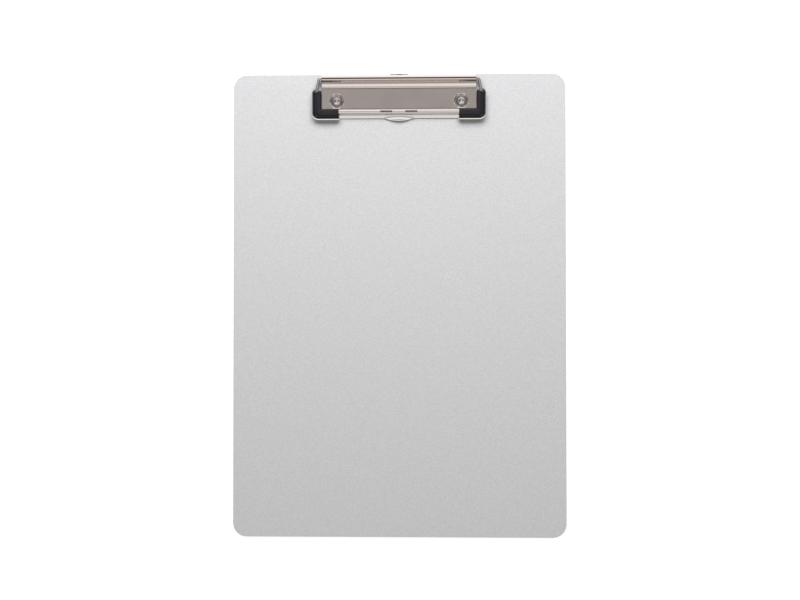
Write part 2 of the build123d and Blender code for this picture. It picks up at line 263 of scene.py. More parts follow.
def turn(bm, vert, centre, degrees, steps):
    """Draw an arc about an X-going axis through centre and return its far vertex."""
    spun = bmesh.ops.spin(
        bm, geom=[vert], cent=centre, axis=X_AXIS, angle=math.radians(degrees), steps=steps
    )
    return only(spun["geom_last"], BMVert)[0]


def only(items, kind):
    """The items of one kind."""
    return [item for item in items if isinstance(item, kind)]


def everything(bm):
    """All the geometry of a bmesh."""
    return bm.verts[:] + bm.edges[:] + bm.faces[:]


def sweep_across(bm, width):
    """Extrude all the edges along X."""
    new = bmesh.ops.extrude_edge_only(bm, edges=bm.edges[:])["geom"]
    bmesh.ops.translate(bm, verts=only(new, BMVert), vec=X_AXIS * width)


def cut(bm, point, normal, clear=False):
    """Cut everything with a plane, and drop what is in front of it if asked."""
    bmesh.ops.bisect_plane(
        bm, geom=everything(bm), dist=NUDGE / 10, plane_co=point, plane_no=normal, clear_outer=clear
    )


def drop_faces(bm, test):
    """Delete the faces whose middle passes a test."""
    doomed = [face for face in bm.faces if test(face.calc_center_median())]
    bmesh.ops.delete(bm, geom=doomed, context="FACES")


def outward(bm):
    """Turn all the faces outwards."""
    bmesh.ops.recalc_face_normals(bm, faces=bm.faces[:])


def face_sheet(bm, way):
    """Turn an open sheet so that its outside looks up, for 1, or down, for -1."""
    outward(bm)
    if way * sum(face.normal.z * face.calc_area() for face in bm.faces) < 0:
        bmesh.ops.reverse_faces(bm, faces=bm.faces[:])


def swap_sides(bm, geom):
    """Mirror some geometry to the other side and keep its outside outside."""
    bmesh.ops.scale(bm, verts=only(geom, BMVert), vec=(-1, 1, 1))
    bmesh.ops.reverse_faces(bm, faces=only(geom, BMFace))


def weld(bm):
    """Join the vertices that lie together."""
    bmesh.ops.remove_doubles(bm, verts=bm.verts[:], dist=NUDGE)


def circle(bm, segments, radius, matrix):
    """Draw a circle and return its edges."""
    ring = bmesh.ops.create_circle(bm, segments=segments, radius=radius, matrix=matrix)["verts"]
    return list({edge for vert in ring for edge in vert.link_edges})


def bevel(bm, geom, offset, segments, affect="EDGES"):
    """Round some edges, or the corners of a flat face."""
    bmesh.ops.bevel(
        bm,
        geom=geom,
        offset=offset,
        offset_type="OFFSET",
        segments=segments,
        profile=0.5,
        affect=affect,
        material=-1,
    )


def rectangle(bm, low_x, high_x, low_y, high_y, height):
    """A flat face between two corners."""
    middle = Vector(((low_x + high_x) / 2, (low_y + high_y) / 2, height))
    matrix = Matrix.Translation(middle) @ Matrix.Diagonal((high_x - low_x, high_y - low_y, 1, 1))
    made = bmesh.ops.create_grid(bm, x_segments=1, y_segments=1, size=0.5, matrix=matrix)
    return made["verts"]


def block(bm, low, high):
    """A box between two corners."""
    middle = (low + high) / 2
    matrix = Matrix.Translation(middle) @ Matrix.Diagonal((*(high - low), 1))
    return bmesh.ops.create_cube(bm, size=1.0, matrix=matrix)["verts"]


def add_object(bm, name, material):
    """Turn a bmesh into an object of the scene, with its material."""
    mesh = bpy.data.meshes.new(name)
    bm.to_mesh(mesh)
    bm.free()
    mesh.materials.append(material)
    made = bpy.data.objects.new(name, mesh)
    bpy.context.scene.collection.objects.link(made)
    return made


def finish_piece(bm, name, body, material, nodes):
    """Make the piece's object, set its finish and its body, and hide the nodes it stands for."""
    piece = add_object(bm, name, material)
    piece.data.shade_smooth()
    piece.data.set_sharp_from_angle(angle=SHARP_ANGLE)
    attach(piece, body)
    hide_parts(*nodes)
    return piece


def thicken(piece, sheet):
    """Give an open sheet its thickness and soft edges."""
    wall = piece.modifiers.new("Sheet", "SOLIDIFY")
    wall.thickness = sheet
    wall.offset = -1.0
    wall.use_even_offset = True
    soften(piece)


def soften(piece):
    """Round the sharp edges a little and keep the flats flat in the light."""
    edges = piece.modifiers.new("Edges", "BEVEL")
    edges.width = EDGE_ROUND
    edges.segments = 2
    edges.limit_method = "ANGLE"
    edges.angle_limit = SHARP_ANGLE
    flatten(piece)


def flatten(piece):
    """Let the large faces set the shading, so that they stay flat."""
    weights = piece.modifiers.new("Flats", "WEIGHTED_NORMAL")
    weights.keep_sharp = True


# Finishes


def shader_of(material):
    """The node that a surface's looks are set on."""
    return material.node_tree.nodes["Principled BSDF"]


def new_material(name):
    """A new material."""
    material = bpy.data.materials.new(name)
    material.use_nodes = True
    return material


def set_inputs(node, values):
    """Give several inputs of a node their values."""
    for name, value in values.items():
        node.inputs[name].default_value = value


def grain_group():
    """Fine grain, broad cloudiness and drawn-out hair lines, each between 0 and 1."""
    found = bpy.data.node_groups.get("Clip grain")
    if found:
        return found
    group = bpy.data.node_groups.new("Clip grain", "ShaderNodeTree")
    for name, scale in (("Grain", 2500.0), ("Cloud", 40.0), ("Hair", 5000.0)):
        label = name + " scale"
        socket = group.interface.new_socket(name=label, in_out="INPUT", socket_type=VALUE)
        socket.default_value = scale
        group.interface.new_socket(name=name, in_out="OUTPUT", socket_type=VALUE)
    nodes = group.nodes
    links = group.links
    entry = nodes.new("NodeGroupInput")
    leave = nodes.new("NodeGroupOutput")
    place = nodes.new("ShaderNodeTexCoord").outputs["Object"]
    stretch = nodes.new("ShaderNodeMapping")
    stretch.inputs["Scale"].default_value = (0.012, 1.0, 1.0)
    links.new(place, stretch.inputs["Vector"])
    drawn = stretch.outputs["Vector"]
    noises = (("Grain", 3.0, place), ("Cloud", 2.0, place), ("Hair", 1.0, drawn))
    for name, detail, source in noises:
        noise = nodes.new("ShaderNodeTexNoise")
        noise.inputs["Detail"].default_value = detail
        links.new(source, noise.inputs["Vector"])
        links.new(entry.outputs[name + " scale"], noise.inputs["Scale"])
        links.new(noise.outputs["Fac"], leave.inputs[name])
    return group


def add_grain(material, grain_scale, cloud_scale):
    """Place the grain group in a material."""
    node = material.node_tree.nodes.new("ShaderNodeGroup")
    node.node_tree = grain_group()
    set_inputs(node, {"Grain scale": grain_scale, "Cloud scale": cloud_scale})
    return node


def remap(owner, source, start, end, low=0.25, high=0.75, kind="LINEAR"):
    """Stretch a value between low and high to one between start and end."""
    node = owner.node_tree.nodes.new("ShaderNodeMapRange")
    node.interpolation_type = kind
    set_inputs(node, {"From Min": low, "From Max": high, "To Min": start, "To Max": end})
    owner.node_tree.links.new(source, node.inputs["Value"])
    return node.outputs["Result"]


def ramp(owner, source, low, high, start=0.0, end=1.0):
    """A smooth step of a value from start at low to end at high."""
    if low > high:
        low, high, start, end = high, low, end, start
    return remap(owner, source, start, end, low, high, "SMOOTHSTEP")


def add_bump(material, source, strength, depth):
    """Feed a height to the shader's normal."""
    node = material.node_tree.nodes.new("ShaderNodeBump")
    set_inputs(node, {"Strength": strength, "Distance": depth})
    links = material.node_tree.links
    links.new(source, node.inputs["Height"])
    links.new(node.outputs["Normal"], shader_of(material).inputs["Normal"])


def tint(material, source, low, high):
    """Vary the base colour between two colours."""
    mixed = mix(material, source, (*low, 1.0), (*high, 1.0), "RGBA")
    material.node_tree.links.new(mixed, shader_of(material).inputs["Base Color"])


def mix(owner, factor, one, other, kind="FLOAT"):
    """A value or a colour between two others, each a socket or plain."""
    node = owner.node_tree.nodes.new("ShaderNodeMix")
    node.data_type = kind
    first, result = MIX_SOCKETS[kind]
    links = owner.node_tree.links
    links.new(factor, node.inputs["Factor"])
    for place, value in enumerate((one, other)):
        if isinstance(value, bpy.types.NodeSocket):
            links.new(value, node.inputs[first + place])
        else:
            node.inputs[first + place].default_value = value
    return node.outputs[result]


def shade(base, factor):
    """A colour made darker or lighter."""
    return [channel * factor for channel in base]


def metal_finish(
    name, base, roughness, spread, grain_scale, bump, cloud_scale=60.0, fleck=0.035
):
    """A metal whose roughness and colour change a little over the surface."""
    material = new_material(name)
    shader = shader_of(material)
    shader.inputs["Metallic"].default_value = 1.0
    grain = add_grain(material, grain_scale, cloud_scale)
    cloud = remap(material, grain.outputs["Cloud"], roughness - spread, roughness)
    hair = remap(material, grain.outputs["Hair"], 0.0, spread)
    cloud = math_node(material, "ADD", cloud, hair)
    material.node_tree.links.new(cloud, shader.inputs["Roughness"])
    speck = remap(material, grain.outputs["Grain"], 0.0, 1.0)
    tint(material, speck, shade(base, 1 - fleck), shade(base, 1 + fleck))
    add_bump(material, grain.outputs["Grain"], bump, 0.00002)
    return material


def blasted_finish(sizes):
    """Blasted aluminium: a matt face with a fine even grain."""
    material = metal_finish(
        "Blasted aluminium",
        sizes.tone,
        sizes.roughness,
        spread=0.012,
        grain_scale=1500.0,
        bump=0.9,
        cloud_scale=45.0,
        fleck=0.16,
    )
    shader_of(material).inputs["Metallic"].default_value = sizes.metal
    return material


def plate_finish(sizes, bend_y):
    """Nickel plate: a satin flat, polished where the sheet is bent or pressed."""
    material = metal_finish("Satin nickel", sizes.tone, sizes.roughness, 0.015, 2200.0, 0.10)
    roughness = shader_of(material).inputs["Roughness"]
    satin = roughness.links[0].from_socket
    x, y = position(material, "Object")
    bends = ramp(material, y, bend_y - 0.0006, bend_y + 0.0004)
    middle = rivet_middle("rivet_right")
    across = math_node(material, "SUBTRACT", math_node(material, "ABSOLUTE", x), middle.x)
    along = math_node(material, "SUBTRACT", y, middle.y)
    reach = diagonal(material, across, along)
    rings = ramp(material, reach, sizes.dimple_rim + 0.0002, sizes.dimple_rim - 0.0002)
    walls = ramp(material, reach, sizes.dimple_floor - 0.0004, sizes.dimple_floor, 0.55, 1.0)
    rings = math_node(material, "MULTIPLY", rings, walls)
    mask = math_node(material, "MAXIMUM", bends, rings)
    material.node_tree.links.new(mix(material, mask, satin, sizes.polish), roughness)
    return material


def math_node(owner, operation, first, second=None):
    """One step of arithmetic on a socket, with a socket or a number."""
    node = owner.node_tree.nodes.new("ShaderNodeMath")
    node.operation = operation
    owner.node_tree.links.new(first, node.inputs[0])
    if isinstance(second, bpy.types.NodeSocket):
        owner.node_tree.links.new(second, node.inputs[1])
    elif second is not None:
        node.inputs[1].default_value = second
    return node.outputs[0]


def diagonal(owner, first, second):
    """The length of the diagonal over two values."""
    one = math_node(owner, "MULTIPLY", first, first)
    other = math_node(owner, "MULTIPLY", second, second)
    return math_node(owner, "SQRT", math_node(owner, "ADD", one, other))


def position(owner, kind):
    """The X and the Y of a texture position."""
    nodes = owner.node_tree.nodes
    split = nodes.new("ShaderNodeSeparateXYZ")
    place = nodes.new("ShaderNodeTexCoord").outputs[kind]
    owner.node_tree.links.new(place, split.inputs[0])
    return split.outputs["X"], split.outputs["Y"]


def band(owner, source, middle, half, edge, inside):
    """A factor that is inside near a middle value, and 1 away from it."""
    away = math_node(owner, "ABSOLUTE", math_node(owner, "SUBTRACT", source, middle))
    return ramp(owner, away, half, edge, inside, 1.0)


def black_finish(name, base):
    """Soft black rubber with a faint bloom."""
    material = new_material(name)
    shader = shader_of(material)
    set_inputs(shader, {"IOR": 1.45, "Specular IOR Level": 0.35})
    grain = add_grain(material, grain_scale=1800.0, cloud_scale=150.0)
    rough = remap(material, grain.outputs["Cloud"], 0.30, 0.42)
    material.node_tree.links.new(rough, shader.inputs["Roughness"])
    bloom = remap(material, grain.outputs["Cloud"], 0.0, 1.0)
    tint(material, bloom, shade(base, 0.8), shade(base, 1.3))
    add_bump(material, grain.outputs["Grain"], 0.25, 0.00003)
    return material


# Pieces


class CLIPBOARD_OT_board(bpy.types.Operator):
    """Blasted aluminium sheet with round corners and recesses for the rivet heads"""

    bl_idname = "clipboard.board"
    bl_label = "Board"

    def execute(self, context):
        sizes = context.scene.clipboard_board
        shank = context.scene.clipboard_plate.dimple_hole
        low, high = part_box("board")
        bm = bmesh.new()
        corners = rectangle(bm, low.x, high.x, low.y, high.y, low.z)
        bevel(bm, corners, sizes.corner_radius, 16, "VERTICES")
        raised = bmesh.ops.extrude_face_region(bm, geom=bm.faces[:])["geom"]
        bmesh.ops.translate(bm, verts=only(raised, BMVert), vec=Z_AXIS * (high.z - low.z))
        outward(bm)
        rims = [edge for edge in bm.edges if abs(edge.verts[0].co.z - edge.verts[1].co.z) < NUDGE]
        bevel(bm, rims, sizes.edge_round, 3)
        half = 1.5 * sizes.head_radius
        for rivet in ("rivet_left", "rivet_right"):
            middle = rivet_middle(rivet)
            edges = open_square(bm, Vector((middle.x, middle.y, low.z)), half)
            for radius, height in (
                (sizes.head_radius, low.z),
                (sizes.head_radius, low.z + sizes.head_depth),
                (shank, low.z + sizes.head_depth),
                (shank, high.z),
            ):
                edges = draw_ring(bm, edges, middle, radius, height)
            edges = open_square(bm, Vector((middle.x, middle.y, high.z)), half)
            draw_ring(bm, edges, middle, shank, high.z)
        weld(bm)
        outward(bm)
        finish = blasted_finish(sizes)
        piece = finish_piece(bm, "board_sheet", "board", finish, ["board"])
        flatten(piece)
        return {"FINISHED"}


def rivet_middle(rivet):
    """The middle of a rivet, at height nought."""
    low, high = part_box(rivet)
    return Vector(((low.x + high.x) / 2, (low.y + high.y) / 2, 0))


def open_square(bm, middle, half):
    """Cut a square out of the level face at middle and return its evenly divided edges."""
    for way in (-1, 1):
        cut(bm, middle + X_AXIS * half * way, X_AXIS)
        cut(bm, middle + Y_AXIS * half * way, Y_AXIS)

    def inside(point):
        offset = point - middle
        return max(abs(offset.x), abs(offset.y)) < half and abs(offset.z) < NUDGE

    def outline():
        found = []
        for edge in bm.edges:
            offsets = [vert.co - middle for vert in edge.verts]
            reach = [max(abs(offset.x), abs(offset.y)) - half for offset in offsets]
            level = max(abs(offset.z) for offset in offsets)
            if edge.is_boundary and max(map(abs, reach)) < NUDGE and level < NUDGE:
                found.append(edge)
        return found

    drop_faces(bm, inside)
    bmesh.ops.subdivide_edges(bm, edges=outline(), cuts=11)
    edges = outline()
    for vert in {vert for edge in edges for vert in edge.verts}:
        for way in (0, 1):
            part = (vert.co[way] - middle[way]) / half
            vert.co[way] = middle[way] + half * math.tan(part * math.pi / 4)
    return edges


def draw_ring(bm, edges, middle, radius, height):
    """Extrude a closed row of edges on to a circle round middle."""
    new = bmesh.ops.extrude_edge_only(bm, edges=edges)["geom"]
    for vert in only(new, BMVert):
        offset = vert.co - middle
        offset.z = 0
        vert.co = middle + offset.normalized() * radius
        vert.co.z = height
    return only(new, BMEdge)


class CLIPBOARD_OT_base_plate(bpy.types.Operator):
    """Nickel-plated pressing: rear wall, roll over the rod, slope, satin flat and two dimples"""

    bl_idname = "clipboard.base_plate"
    bl_label = "Base plate"

    def execute(self, context):
        sizes = context.scene.clipboard_plate
        low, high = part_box("base_plate")
        radius = high.z - HINGE.z
        flat = low.z + sizes.hollow + sizes.sheet
        lean = sizes.wall_lean
        axis = Vector((low.x, HINGE.y, HINGE.z))
        wall_top = axis + Vector((0, math.cos(lean), math.sin(lean))) * radius
        down = Vector((0, math.sin(lean), -math.cos(lean)))
        foot = wall_top + down * ((wall_top.z - low.z) / math.cos(lean))
        land_end = axis + Vector((0, -sizes.land, radius))
        shoulder = land_end - Z_AXIS * sizes.shoulder_radius
        rise = flat + sizes.slope_radius - shoulder.z
        reach = math.sqrt((sizes.shoulder_radius + sizes.slope_radius) ** 2 - rise**2)
        slope = shoulder + Vector((0, -reach, rise))
        fall = math.degrees(math.acos(rise / (sizes.shoulder_radius + sizes.slope_radius)))
        bm = bmesh.new()
        vert = bm.verts.new(foot)
        vert = run_to(bm, vert, wall_top)
        vert = turn(bm, vert, axis, 90 - math.degrees(lean), 20)
        vert = run_to(bm, vert, land_end)
        vert = turn(bm, vert, shoulder, fall, 14)
        vert = turn(bm, vert, slope, -fall, 24)
        vert = run_to(bm, vert, Vector((low.x, low.y, flat)))
        run_to(bm, vert, Vector((low.x, low.y, low.z)))
        sweep_across(bm, high.x - low.x)
        face_sheet(bm, 1)
        for rivet in ("rivet_left", "rivet_right"):
            self.press_dimple(bm, rivet, sizes, flat, low)
        self.open_slot(bm, sizes, low.z)
        finish = plate_finish(sizes, slope.y)
        piece = finish_piece(bm, "clip_plate", "board", finish, ["base_plate"])
        thicken(piece, sizes.sheet)
        return {"FINISHED"}

    def press_dimple(self, bm, rivet, sizes, flat, low):
        """Sink a round dimple to the board, with a hole in its floor."""
        middle = rivet_middle(rivet)
        half = middle.y - low.y - sizes.dimple_border
        edges = open_square(bm, Vector((middle.x, middle.y, flat)), half)
        edges = draw_ring(bm, edges, middle, sizes.dimple_rim, flat)
        depth = flat - low.z - sizes.sheet
        steps = 12
        for index in range(1, steps + 1):
            part = index / steps
            radius = sizes.dimple_rim + (sizes.dimple_floor - sizes.dimple_rim) * part
            sink = depth * (part + sizes.dimple_ease * part * (3 * part - 2 * part**2 - 1))
            edges = draw_ring(bm, edges, middle, radius, flat - sink)
        draw_ring(bm, edges, middle, sizes.dimple_hole, flat - depth)

    def open_slot(self, bm, sizes, base):
        """Cut the arched way for the hanger through the rear wall, column by column."""
        half = sizes.slot_half
        columns = 16
        straight = base + SLOT_STRAIGHT
        for index in range(columns + 1):
            cut(bm, Vector((-half + 2 * half * index / columns, 0, 0)), X_AXIS)
        cut(bm, Z_AXIS * straight, Z_AXIS)
        drop_faces(bm, lambda p: abs(p.x) < half and p.y > HINGE.y and p.z < straight)
        lift = base + sizes.slot_height - straight
        for vert in bm.verts:
            at_top = vert.co.y > HINGE.y and abs(vert.co.z - straight) < NUDGE
            if at_top and abs(vert.co.x) < half - NUDGE:
                rise = lift * (1 - (vert.co.x / half) ** 2)
                vert.co += Vector((0, -math.tan(sizes.wall_lean), 1)) * rise


class CLIPBOARD_OT_rivets(bpy.types.Operator):
    """Two tubular rivets, each a flat head behind and a rolled crown in front"""

    bl_idname = "clipboard.rivets"
    bl_label = "Rivets"

    def execute(self, context):
        sizes = context.scene.clipboard_rivet
        finish = metal_finish("Bright rivet", sizes.tone, sizes.roughness, 0.03, 2600.0, 0.06)
        for node in ("rivet_left", "rivet_right"):
            low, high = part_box(node)
            axis = rivet_middle(node)
            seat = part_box("board")[1].z + context.scene.clipboard_plate.sheet
            bm = bmesh.new()
            head_top = low.z + sizes.head_thickness
            soft = sizes.head_thickness / 4
            blind = Matrix.Translation(axis + Z_AXIS * (seat - sizes.bore_end))
            edges = circle(bm, 48, sizes.bore / 2, blind)
            roll = (sizes.crown - sizes.bore) / 2
            for radius, height in (
                (sizes.bore, seat - sizes.bore_end),
                (sizes.bore, low.z + soft),
                (sizes.bore + soft, low.z),
                (sizes.head - soft, low.z),
                (sizes.head, low.z + soft),
                (sizes.head, head_top - soft),
                (sizes.head - soft, head_top),
                (sizes.shank, head_top),
                (sizes.shank, seat),
                (sizes.crown - soft, seat),
            ):
                edges = draw_ring(bm, edges, axis, radius, height)
            steps = 14
            for index in range(steps):
                bow = math.pi * index / steps
                radius = sizes.bore + roll * (1 + math.cos(bow))
                height = seat + soft + (high.z - seat - soft) * math.sin(bow) ** 0.7
                edges = draw_ring(bm, edges, axis, radius, height)
            for part, height in ((0.7, seat + soft), (0.4, seat - soft), (0.15, seat)):
                edges = draw_ring(bm, edges, axis, sizes.bore * part, height)
            self.curl_slits(bm, axis, sizes, high.z)
            bmesh.ops.holes_fill(bm, edges=bm.edges[:])
            outward(bm)
            side = node.split("_")[1]
            finish_piece(bm, "rivet_crowned_" + side, "board", finish, [node])
        return {"FINISHED"}

    def curl_slits(self, bm, axis, sizes, top):
        """Press small notches into the rolled crown, as a curling tool leaves them."""
        for vert in bm.verts:
            offset = vert.co - axis
            if offset.z < top - NOTCH_REACH or offset.xy.length > (sizes.crown + sizes.bore) / 2:
                continue
            wave = math.cos(3 * math.atan2(offset.y, offset.x) + NOTCH_TURN)
            vert.co.z -= NOTCH_DEPTH * max(0.0, wave)


class CLIPBOARD_OT_spring_wire(bpy.types.Operator):
    """One bent wire: hinge rod, slanting ends, arms and front tails"""

    bl_idname = "clipboard.spring_wire"
    bl_label = "Spring wire"

    def execute(self, context):
        sizes = context.scene.clipboard_wire
        low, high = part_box("spring_wire")
        top_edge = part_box("board")[1].y
        plate_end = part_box("base_plate")[1].x
        arm_x = high.x - sizes.radius
        bar = Vector((0, low.y + sizes.radius, low.z + sizes.radius))
        fall = math.atan2(HINGE.z - bar.z, HINGE.y - bar.y)
        reach = (HINGE - bar).yz.length
        arm_start = (top_edge - sizes.arm_start - HINGE.y) / math.cos(fall)
        tail_x = context.scene.clipboard_bow.half_length - sizes.tail
        hinge_x = plate_end + sizes.hinge_bend
        corners = [
            Vector((0, 0, 0)),
            Vector((hinge_x, 0, 0)),
            Vector((arm_x, arm_start, 0)),
            Vector((arm_x, -reach, 0)),
            Vector((tail_x, -reach, 0)),
        ]
        bends = [sizes.hinge_bend, sizes.arm_bend, sizes.corner_bend]
        bm = bmesh.new()
        edges = circle(bm, 24, sizes.radius, Matrix.Rotation(math.pi / 2, 4, "Y"))
        edges = draw_tube(bm, edges, corners, bends)
        bmesh.ops.edgeloop_fill(bm, edges=edges)
        bmesh.ops.mirror(
            bm, geom=everything(bm), matrix=Matrix.Identity(4), merge_dist=NUDGE, axis="X"
        )
        weld(bm)
        outward(bm)
        bmesh.ops.rotate(bm, verts=bm.verts[:], matrix=Matrix.Rotation(fall, 3, "X"))
        bmesh.ops.translate(bm, verts=bm.verts[:], vec=(0, HINGE.y, HINGE.z))
        finish = metal_finish("Spring wire", sizes.tone, sizes.roughness, 0.03, 2600.0, 0.05)
        finish_piece(bm, "spring_rod", "bow", finish, ["spring_wire"])
        return {"FINISHED"}


def draw_tube(bm, edges, corners, bends):
    """Sweep a ring along straight runs joined by tangent arcs, all in one flat plane."""
    place = corners[0]
    for index, radius in enumerate(bends):
        before, corner, after = corners[index : index + 3]
        inward = (corner - before).normalized()
        outward = (after - corner).normalized()
        bend = inward.angle(outward)
        setback = radius * math.tan(bend / 2)
        start = corner - inward * setback
        edges = push_ring(bm, edges, start - place)
        side = 1 if inward.cross(outward).z > 0 else -1
        centre = start + Z_AXIS.cross(inward) * radius * side
        steps = max(4, int(math.degrees(bend) / 6))
        spun = bmesh.ops.spin(
            bm, geom=edges, cent=centre, axis=Z_AXIS, angle=bend * side, steps=steps
        )["geom_last"]
        edges = only(spun, BMEdge)
        place = corner + outward * setback
    return push_ring(bm, edges, corners[-1] - place)


def push_ring(bm, edges, step):
    """Extrude a ring of edges straight on."""
    new = bmesh.ops.extrude_edge_only(bm, edges=edges)["geom"]
    bmesh.ops.translate(bm, verts=only(new, BMVert), vec=step)
    return only(new, BMEdge)


class CLIPBOARD_OT_clamp_bow(bpy.types.Operator):
    """Bright pressing: front bar with its roll, flange and thumb tab, and two corner trays"""

    bl_idname = "clipboard.clamp_bow"
    bl_label = "Clamp bow"

    def execute(self, context):
        sizes = context.scene.clipboard_bow
        bm = bmesh.new()
        wire_radius = context.scene.clipboard_wire.radius
        self.front_bar(bm, sizes, wire_radius)
        face_sheet(bm, 1)
        tray = self.corner_trays(sizes, wire_radius)
        mesh = bpy.data.meshes.new("tray_part")
        tray.to_mesh(mesh)
        tray.free()
        bm.from_mesh(mesh)
        bpy.data.meshes.remove(mesh)
        finish = metal_finish("Bright nickel", sizes.tone, sizes.roughness, 0.02, 1500.0, 0.04)
        piece = finish_piece(bm, "clamp_frame", "bow", finish, ["clamp_bow"])
        thicken(piece, sizes.sheet)
        return {"FINISHED"}

    def front_bar(self, bm, sizes, wire_radius):
        """The bar's section from roll to flange, swept across, with its slots and its tab."""
        wire_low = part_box("spring_wire")[0]
        board_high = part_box("board")[1]
        bore = wire_radius + RUNNING_GAP
        roll = bore + sizes.sheet
        axis = Vector((-sizes.half_length, wire_low.y + wire_radius, wire_low.z + wire_radius))
        slope = sizes.flange_slope
        run = Vector((0, -math.cos(slope), -math.sin(slope)))
        up = Vector((0, -math.sin(slope), math.cos(slope)))
        low_tip = Vector((axis.x, board_high.y - sizes.flange_reach, board_high.z + RUNNING_GAP))
        tip = low_tip + up * sizes.sheet
        base = tip + up * sizes.blend_radius
        offset = base - axis
        across = offset.dot(up)
        reach = math.sqrt((roll + sizes.blend_radius) ** 2 - across**2)
        blend = base + run * (reach - offset.dot(run))
        touch = blend - up * sizes.blend_radius
        join = math.atan2(blend.z - axis.z, blend.y - axis.y) % math.tau
        start = axis + Vector((0, math.cos(sizes.roll_start), math.sin(sizes.roll_start))) * roll
        half_slot = math.asin(sizes.slot_width / 2 / roll)
        quarter = math.pi / 2
        vert = bm.verts.new(start)
        legs = (
            (quarter - half_slot - sizes.roll_start, 26),
            (2 * half_slot, 6),
            (join - quarter - half_slot, 14),
        )
        for sweep, steps in legs:
            vert = turn(bm, vert, axis, math.degrees(sweep), steps)
        from_blend = join - math.pi
        to_touch = math.atan2(-up.z, -up.y)
        vert = turn(bm, vert, blend, math.degrees(to_touch - from_blend), 12)
        rows = 10
        flange = (tip - touch).length
        for index in range(1, rows + 1):
            vert = run_to(bm, vert, touch + run * flange * index / rows)
        sweep_across(bm, 2 * sizes.half_length)
        for side in (-1, 1):
            for place in (sizes.slot_inner, sizes.slot_outer):
                cut(bm, X_AXIS * place * side, X_AXIS)
        columns = 36
        for index in range(columns + 1):
            cut(bm, X_AXIS * sizes.tab_half * (2 * index / columns - 1), X_AXIS)
        slot_z = axis.z + roll * math.cos(half_slot) - NUDGE
        drop_faces(
            bm,
            lambda p: sizes.slot_inner < abs(p.x) < sizes.slot_outer
            and abs(p.y - axis.y) < sizes.slot_width / 2
            and p.z > slot_z - SLOT_SLACK,
        )
        self.raise_tab(bm, sizes, touch, run, up, flange)

    def raise_tab(self, bm, sizes, touch, run, up, flange):
        """Bend the flange's middle up and forward, fading to nothing at the tab's ends."""
        for vert in bm.verts:
            offset = vert.co - Vector((vert.co.x, touch.y, touch.z))
            along = offset.dot(run) / flange
            if abs(vert.co.x) >= sizes.tab_half or along < NUDGE or abs(offset.dot(up)) > NUDGE:
                continue
            rise = (1 + math.cos(math.pi * vert.co.x / sizes.tab_half)) / 2
            knee = run * flange * sizes.tab_knee
            end = run * flange + Vector((0, -sizes.tab_reach, sizes.tab_lift)) * rise
            bend = knee * (2 * along * (1 - along)) + end * along**2
            flat = run * flange * along
            bend = flat.lerp(bend, min(1.0, 4 * rise))
            vert.co = Vector((vert.co.x, touch.y, touch.z)) + bend

    def corner_trays(self, sizes, wire_radius):
        """Both corner trays: floor, upright wall with a turned-out lip, open behind the wire."""
        grip_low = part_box("corner_grip_right")[0]
        bow_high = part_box("clamp_bow")[1]
        wire_low, wire_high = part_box("spring_wire")
        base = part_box("board")[1].z + TRAY_GAP
        lip = sizes.lip_radius * (1 - math.cos(sizes.lip_flare))
        right = bow_high.x - lip
        rear = bow_high.y - lip
        front = grip_low.y - sizes.lip_overhang + lip
        left = sizes.half_length - 3 * sizes.front_radius
        bm = bmesh.new()
        rows = []
        steps = 5
        for index in range(steps + 1):
            bend = math.pi / 2 * index / steps
            out = sizes.tray_bend * (math.sin(bend) - 1)
            rows.append((out, base + sizes.tray_bend * (1 - math.cos(bend))))
        steps = 8
        for index in range(steps + 1):
            bend = sizes.lip_flare * index / steps
            height = base + sizes.wall_height + sizes.lip_radius * math.sin(bend)
            rows.append((sizes.lip_radius * (1 - math.cos(bend)), height))
        before = None
        for out, height in rows:
            known = set(bm.verts)
            known_edges = set(bm.edges)
            rectangle(bm, left, right + out, front - out, rear + out, height)
            corners = [vert for vert in bm.verts if vert not in known and vert.co.x > left + NUDGE]
            corners.sort(key=lambda vert: vert.co.y)
            bevel(bm, corners[:1], sizes.front_radius + out, CORNER_STEPS, "VERTICES")
            corners = [vert for vert in bm.verts if vert not in known]
            top = max(vert.co.y for vert in corners)
            corner = max((v for v in corners if v.co.y > top - NUDGE), key=lambda v: v.co.x)
            bevel(bm, [corner], sizes.rear_radius + out, CORNER_STEPS, "VERTICES")
            edges = [edge for edge in bm.edges if edge not in known_edges]
            if before:
                upper = [face for face in bm.faces if face.calc_center_median().z > height - NUDGE]
                bmesh.ops.delete(bm, geom=upper, context="FACES_ONLY")
                bmesh.ops.bridge_loops(bm, edges=before + edges)
            before = edges
        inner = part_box("base_plate")[1].x + PLATE_GAP
        window = wire_low.y + wire_radius + FLOOR_STEP
        notch = wire_high.x + WIRE_GAP
        cut(bm, X_AXIS * (sizes.half_length - BAR_OVERLAP), -X_AXIS, clear=True)
        for place in (inner, notch):
            cut(bm, X_AXIS * place, X_AXIS)
        cut(bm, Y_AXIS * window, Y_AXIS)
        drop_faces(bm, lambda p: p.x < inner and p.y > window)
        drop_faces(bm, lambda p: p.x < notch and p.y > rear - sizes.tray_bend)
        face_sheet(bm, -1)
        copied = bmesh.ops.duplicate(bm, geom=everything(bm))["geom"]
        swap_sides(bm, copied)
        return bm


